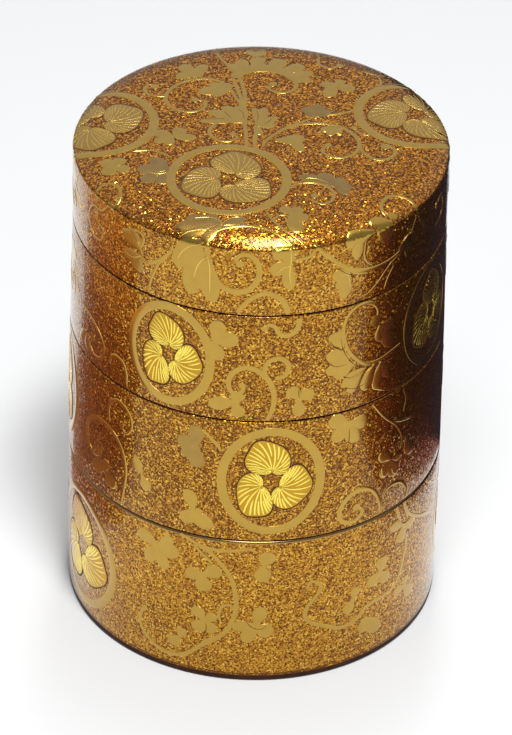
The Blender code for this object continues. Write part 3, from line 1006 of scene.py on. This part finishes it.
WALL_CREASES = (
    ((14.7, 71.6), (15.3, 68.9), (16.6, 66.4), (18.6, 64.5), (21, 63.7), (23.4, 63.4), (25.6, 63.4)),
    ((12.7, 71.4), (13.6, 70.1), (15, 69)),
    ((12.7, 66.8), (14, 66), (15.9, 65.9)),
    ((15.4, 63.5), (16.7, 62.9), (18.2, 63.2)),
    ((15.9, 61), (17.8, 60.4), (19.8, 60.7)),
    ((13.4, 86.3), (15.3, 84.6), (17, 83.6)),
    ((16.8, 52.3), (16.8, 50.6), (16.8, 49.2)),
    ((7.4, 62.6), (7.4, 61.6), (7.5, 60.8)),
    ((-0.6, 13.2), (0.4, 12), (2, 11.6), (2.9, 12.4)),
    ((-7.6, 12), (-7.5, 11), (-7.6, 9.9)),
)

# The back of each wall is plainer: one waving vine with a curl and a leaf in every bend.
BACK_PERIOD = 21.0
BACK_SWING_SHARE = 0.27
BACK_SWING = 4.4
BACK_STEM_WIDTH = 0.65
BACK_CURL_WIDTH = 0.55
BACK_BUD_WIDTH = 1.2
BACK_LEAF_CLEARANCE = 1.3
BACK_TOP = arris - 1
CURL_SIZE = 3.1
CURL_SHARE = 0.74
CURL_SHOOT = 0.3
CURL_SHIFT = 0.2
CURL_DROP = 1.3
CURL_FROM = 215
CURL_TURN = 560
CURL_TIGHTENING = 0.78
CURL_POINTS = 15
BACK_LEAF_REACH = 3.2
BACK_LEAF_SHIFT = 0.4
BACK_LEAF_DROP = 0.2
BACK_LOBES = ((-3.2, -0.9, 1.15), (2.6, -1.1, 1.15), (-0.3, 0, 1.2))


def waving_vine(start, count, low, high):
    """(vines, leaves) along the unrolled wall from start, count half waves long."""
    middle, swing = (low + high) / 2, min((high - low) * BACK_SWING_SHARE, BACK_SWING)
    shares = np.arange(4 * count + 1) / 8
    stem = [(start + BACK_PERIOD * t, middle + swing * math.sin(math.tau * t)) for t in shares]
    vines, leaves = [(stem, 0, BACK_STEM_WIDTH)], []
    reach = min(CURL_SIZE, swing * CURL_SHARE)
    for bend in range(count):
        up = 1 if bend % 2 == 0 else -1
        x = start + BACK_PERIOD * (bend + 0.5) / 2
        hub = (x + CURL_SHIFT, middle + up * (swing - reach - CURL_DROP))
        curl = [(x - BACK_PERIOD / 4 + CURL_SHOOT, middle + up * CURL_SHOOT)]
        for turned in np.linspace(0, 1, CURL_POINTS):
            angle = math.radians(CURL_FROM + CURL_TURN * turned)
            radius = reach * (1 - CURL_TIGHTENING * turned)
            curl.append((hub[0] + radius * math.cos(angle), hub[1] + up * radius * math.sin(angle)))
        vines.append((curl, BACK_BUD_WIDTH, BACK_CURL_WIDTH))
        tip = middle + up * (swing + BACK_LEAF_REACH)
        base = (x - BACK_LEAF_SHIFT, middle + up * (swing - BACK_LEAF_DROP))
        leaves.append((base, [(x + across, tip + up * rise, half) for across, rise, half in BACK_LOBES]))
    return vines, leaves


def rows_between(rows, low, high):
    """The rows of leaves or lines whose first point lies between two heights."""
    return [row for row in rows if low < row[0][1] < high]


lower_span = LOWEST_VINE, lower_joint - JOINT_MARGIN
middle_span = lower_joint + JOINT_MARGIN, middle_joint - JOINT_MARGIN
upper_span = middle_joint + JOINT_MARGIN, upper_joint - JOINT_MARGIN
lid_span = upper_joint + JOINT_MARGIN, NO_LIMIT

# What each piece carries; its plainer back vine's start and count of half waves come last.
for piece, chart, (low, high), roundels, back_start, half_waves in (
    ("lower_tier", on_wall, lower_span, LOWER_ROUNDELS, 66, 10),
    ("middle_tier", on_wall, middle_span, MIDDLE_ROUNDELS, 48.5, 10),
    ("upper_tier", on_wall, upper_span, UPPER_ROUNDELS, 48.5, 11),
    ("lid", on_lid_side, lid_span, (), 48.5, 11),
):
    back_vines, back_leaves = waving_vine(back_start, half_waves, low, min(high, BACK_TOP))
    vines = []
    for drawn in (*WALL_VINES, *back_vines):
        vines += vine(chart, *drawn, roundels, low, high)
    leaves = []
    for rows, clearance in ((WALL_LEAVES, LEAF_CLEARANCE), (back_leaves, BACK_LEAF_CLEARANCE)):
        rows = [row for row in rows_between(rows, low, high) if clear_of(roundels, row[0], clearance)]
        leaves += leaves_of(chart, rows)
    # Some leaves get the darker gold, as painted shade.
    painted_shade = leaves_of(chart, rows_between(WALL_PAINTED_SHADE_LEAVES, low, high))
    creases = lines_of(chart, rows_between(WALL_CREASES, low, high), CREASE_WIDTH, CREASE_LIFT)
    veins = lines_of(chart, rows_between(WALL_VEINS, low, high), VEIN_WIDTH, VEIN_LIFT)
    if piece == "lid":
        for points, bud_width, width in CROWN_VINES:
            vines += vine(on_crown, set_forward(points), bud_width, width, LID_ROUNDELS)
        vines.append(strip(on_crown, smooth(CROWN_PLUME), PLUME_WIDTH, LEAF_LIFT))
        leaves += leaves_of(on_crown, CROWN_LEAVES)
        creases += lines_of(on_crown, map(set_forward, CROWN_CREASES), CREASE_WIDTH, CREASE_LIFT)
        veins += lines_of(on_crown, map(set_forward, CROWN_VEINS), VEIN_WIDTH, VEIN_LIFT)
        raise_gold("lid_grey_leaves", leaves_of(on_crown, CROWN_GREY_LEAVES), grey_gold)
    raise_gold(piece + "_scrolls", vines, dull_gold)
    raise_gold(piece + "_leaves", leaves, dull_gold)
    if painted_shade:
        raise_gold(piece + "_painted_shade_leaves", painted_shade, painted_shade_gold)
    if veins:
        raise_gold(piece + "_leaf_veins", veins, vein_gold)
    if creases:
        raise_gold(piece + "_leaf_creases", creases, brown_lacquer)

# ------------------------------------------------------------------------------
# Surroundings. A pale floor to stand on, soft lights above, in front and behind, and the camera.
# Sheets of brown, orange, maroon and black card lie on the floor at both sides, and a low black
# screen stands behind. Only the gloss of the lacquer shows them, as it would the things in a room.

FLOOR = 3000
FLOOR_HEIGHT = -0.02
SHEET_HEIGHT = 0.3
SCREEN_FOOT = 1
SCREEN_TOP = 160
ROOM_LIGHT = 0.32
CAMERA_BACK = 750.2
CAMERA_HEIGHT = 574.2
CAMERA_TILT = math.radians(35.23)
CAMERA_ROLL = math.radians(1.445)
CAMERA_LENS = 254.2

# The sheets' outlines and the screen's line, as seen from above.
LEFT_SHEET = (
    (-58, 8), (-58, -4), (-64, -28), (-100, -45), (-128, -40), (-134, 30), (-142, 80), (-124, 71),
    (-101, 56), (-78, 52), (-62, 39), (-51, 32), (-48, 24), (-50, 14),
)
LEFT_FAR_SHEET = ((-134, 30), (-128, -40), (-140, -60), (-190, -60), (-190, 110), (-142, 80))
RIGHT_SHEET = (
    (38, 39), (47, 34), (57, 21), (65, 5), (69, -14), (68, -28), (92, -56), (170, -80), (92, -25), (80, 0),
    (68, 26), (49, 37),
)
BLACK_SHEET = (
    (28, 58), (38, 39), (49, 37), (68, 26), (80, 0), (92, -25), (250, -25), (300, 70), (240, 200),
    (100, 210),
)
MAROON_SHEET = ((92, -25), (125, -52), (190, -85), (250, -85), (250, -25))
BACK_SCREEN = ((60, 300), (200, 240), (330, 110), (370, -60))


def plain(name, colour):
    return finish_of(name, Roughness=0.9, Base_Color=(*colour, 1))


def unseen(piece):
    """Staging that is seen only in the gloss of the lacquer."""
    piece.visible_camera = False
    piece.visible_diffuse = False
    piece.visible_shadow = False


def soft_light(name, place, aim, size, power):
    light = bpy.data.lights.new(name, "AREA")
    light.shape = "RECTANGLE"
    light.size, light.size_y = size[0] * MM, size[1] * MM
    light.energy = power
    made = bpy.data.objects.new(name, light)
    made.location = [v * MM for v in place]
    towards = (np.array(aim, float) - np.array(place, float)).tolist()
    made.rotation_euler = Vector(towards).to_track_quat("-Z", "Y").to_euler()
    bpy.context.scene.collection.objects.link(made)
    return made


floor_corners = [(x * FLOOR, y * FLOOR, FLOOR_HEIGHT) for x, y in ((-1, -1), (1, -1), (1, 1), (-1, 1))]
make_piece("floor", floor_corners, [(0, 1, 2, 3)], plain("floor_white", (0.613, 0.62, 0.628)))

for name, outline, finish, colour in (
    ("left_sheet", LEFT_SHEET, "sheet_brown", (0.2, 0.078, 0.038)),
    ("left_far_sheet", LEFT_FAR_SHEET, "sheet_orange", (0.5, 0.27, 0.1)),
    ("right_sheet", RIGHT_SHEET, "sheet_red_brown", (0.13, 0.03, 0.02)),
    ("black_sheet", BLACK_SHEET, "sheet_black", (0.008, 0.003, 0.008)),
    ("maroon_sheet", MAROON_SHEET, "sheet_maroon", (0.075, 0.012, 0.03)),
):
    corners = [(x, y, SHEET_HEIGHT) for x, y in outline]
    unseen(make_piece(name, corners, [tuple(range(len(corners)))], plain(finish, colour)))

corners = [(x, y, z) for x, y in BACK_SCREEN for z in (SCREEN_FOOT, SCREEN_TOP)]
panels = [(i, i + 1, i + 3, i + 2) for i in (0, 2, 4)]
unseen(make_piece("back_screen", corners, panels, plain("screen_black", (0.008, 0.003, 0.008))))

soft_light("overhead", (15, 190, 700), (0, -30, 91), (70, 300), 1.4)
ceiling = soft_light("ceiling", (5, -280, 700), (0, -30, 91), (200, 200), 2.8)
key = soft_light("key", (165, -480, 1450), (0, 0, 40), (260, 260), 16.9)
ceiling.visible_glossy = key.visible_glossy = False
glint = soft_light("glint", (10, -330, 580), (0, -33, 60), (200, 320), 1.7)
back_card = soft_light("back_card", (0, 700, 700), (0, 0, 91), (1600, 900), 1.65)
glint.visible_diffuse = back_card.visible_diffuse = False

world = bpy.data.worlds.new("pale_room")
bpy.context.scene.world = world
world.use_nodes = True
world.node_tree.nodes["Background"].inputs["Color"].default_value = (1, 1, 1, 1)
world.node_tree.nodes["Background"].inputs["Strength"].default_value = ROOM_LIGHT

right = np.array((1.0, 0.0, 0.0))
ahead = np.array((0.0, math.cos(CAMERA_TILT), -math.sin(CAMERA_TILT)))
upward = np.cross(right, ahead)
rolled_right = math.cos(CAMERA_ROLL) * right + math.sin(CAMERA_ROLL) * upward
rolled_up = -math.sin(CAMERA_ROLL) * right + math.cos(CAMERA_ROLL) * upward
lens = bpy.data.cameras.new("camera")
lens.lens = CAMERA_LENS
lens.clip_start = 0.05
camera = bpy.data.objects.new("camera", lens)
turned_to = Matrix(np.array((rolled_right, rolled_up, -ahead)).T.tolist()).to_4x4()
camera.matrix_world = Matrix.Translation((0, -CAMERA_BACK * MM, CAMERA_HEIGHT * MM)) @ turned_to
bpy.context.scene.collection.objects.link(camera)
bpy.context.scene.camera = camera
bpy.context.scene.view_settings.view_transform = "Standard"

bpy.context.view_layer.update()
